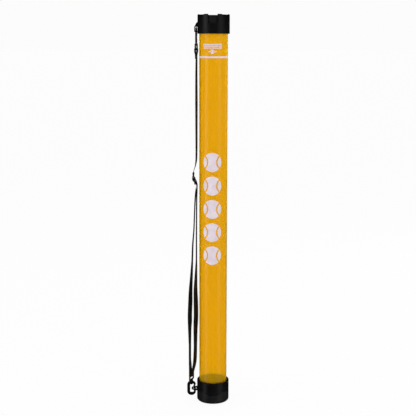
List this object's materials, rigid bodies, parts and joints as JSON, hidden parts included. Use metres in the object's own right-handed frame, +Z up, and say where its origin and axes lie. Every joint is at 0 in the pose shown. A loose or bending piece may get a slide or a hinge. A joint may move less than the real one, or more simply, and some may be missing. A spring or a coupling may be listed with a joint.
{
  "type": "ball pick-up tube",
  "caption": "Clear orange tube that picks up and stores tennis balls, with a sprung mouth, a pull-off foot lid and a clip-on webbing strap.",
  "frame": {"origin": "centre of the flat foot of the base lid, at floor level", "axes": "+Z up along the tube, -X towards the strap lugs, -Y towards the front"},
  "size_m": [0.1118, 0.085, 1.0213],
  "materials": {
    "clear_orange": "see-through orange polycarbonate, gloss",
    "collar_black": "satin moulded",
    "acetal_black": "smooth acetal",
    "acetal_grey": "smooth acetal",
    "webbing_black": "woven polypropylene",
    "steel": "bright wire",
    "print_white": "pale printed ink"
  },
  "bodies": {
    "collector": {"tube": "clear_orange", "top_collar": "collar_black", "retainer_ring": "acetal_grey", "base_collar": "collar_black", "upper_swivel": "acetal_black", "lower_swivel": "acetal_black", "strap_upper_loop": "webbing_black", "strap_upper_main": "webbing_black", "strap_upper_tail": "webbing_black", "strap_upper_run": "webbing_black", "strap_outer_run": "webbing_black", "strap_lower_turn": "webbing_black", "strap_inner_run": "webbing_black"},
    "lid": {"base_lid": "collar_black"},
    "catch_1": {"ball_catch_1": "acetal_grey"},
    "catch_2": {"ball_catch_2": "acetal_grey"},
    "catch_3": {"ball_catch_3": "acetal_grey"},
    "upper_hook": {"upper_hook_body": "acetal_black", "upper_gate_pin": "steel", "upper_gate_spring": "steel"},
    "upper_gate": {"upper_hook_gate": "acetal_grey"},
    "lower_hook": {"lower_hook_body": "acetal_black", "lower_gate_pin": "steel", "lower_gate_spring": "steel"},
    "lower_gate": {"lower_hook_gate": "acetal_grey"},
    "slider": {"strap_slider": "acetal_black", "strap_slider_loop": "webbing_black", "strap_threaded": "webbing_black"}
  },
  "joints": [
    {"name": "lid_pull", "type": "slide", "parent": "collector", "child": "lid", "axis": [0, 0, -1], "range_m": [0, 0.05]},
    {"name": "catch_1_flex", "type": "hinge", "parent": "collector", "child": "catch_1", "pos_m": [-0.00201, -0.03604, 0.9975], "axis": [0.9984, -0.0558, 0], "range_deg": [0, 10.5], "stiffness_Nm_per_rad": 0.7},
    {"name": "catch_2_flex", "type": "hinge", "parent": "collector", "child": "catch_2", "pos_m": [0.03222, 0.01628, 0.9975], "axis": [-0.4509, 0.8926, 0], "range_deg": [0, 10.5], "stiffness_Nm_per_rad": 0.7},
    {"name": "catch_3_flex", "type": "hinge", "parent": "collector", "child": "catch_3", "pos_m": [-0.03021, 0.01977, 0.9975], "axis": [-0.5476, -0.8368, 0], "range_deg": [0, 10.5], "stiffness_Nm_per_rad": 0.7},
    {"name": "upper_hook_turn", "type": "hinge", "parent": "collector", "child": "upper_hook", "pos_m": [-0.0442, 0, 0.9487], "axis": [0, 0, 1], "range_deg": [-8, 8]},
    {"name": "upper_gate_open", "type": "hinge", "parent": "upper_hook", "child": "upper_gate", "pos_m": [-0.0442, 0.0086, 0.9566], "axis": [1, 0, 0], "range_deg": [0, 28], "stiffness_Nm_per_rad": 0.02},
    {"name": "lower_hook_turn", "type": "hinge", "parent": "collector", "child": "lower_hook", "pos_m": [-0.0576, 0, 0.051], "axis": [0, 0, 1], "range_deg": [-15, 15]},
    {"name": "lower_gate_open", "type": "hinge", "parent": "lower_hook", "child": "lower_gate", "pos_m": [-0.049, 0, 0.0431], "axis": [0, 1, 0], "range_deg": [0, 28], "stiffness_Nm_per_rad": 0.02},
    {"name": "slider_travel", "type": "slide", "parent": "collector", "child": "slider", "axis": [0, 0, 1], "range_m": [-0.25, 0], "deforming": ["strap_upper_run", "strap_outer_run", "strap_inner_run"]}
  ]
}
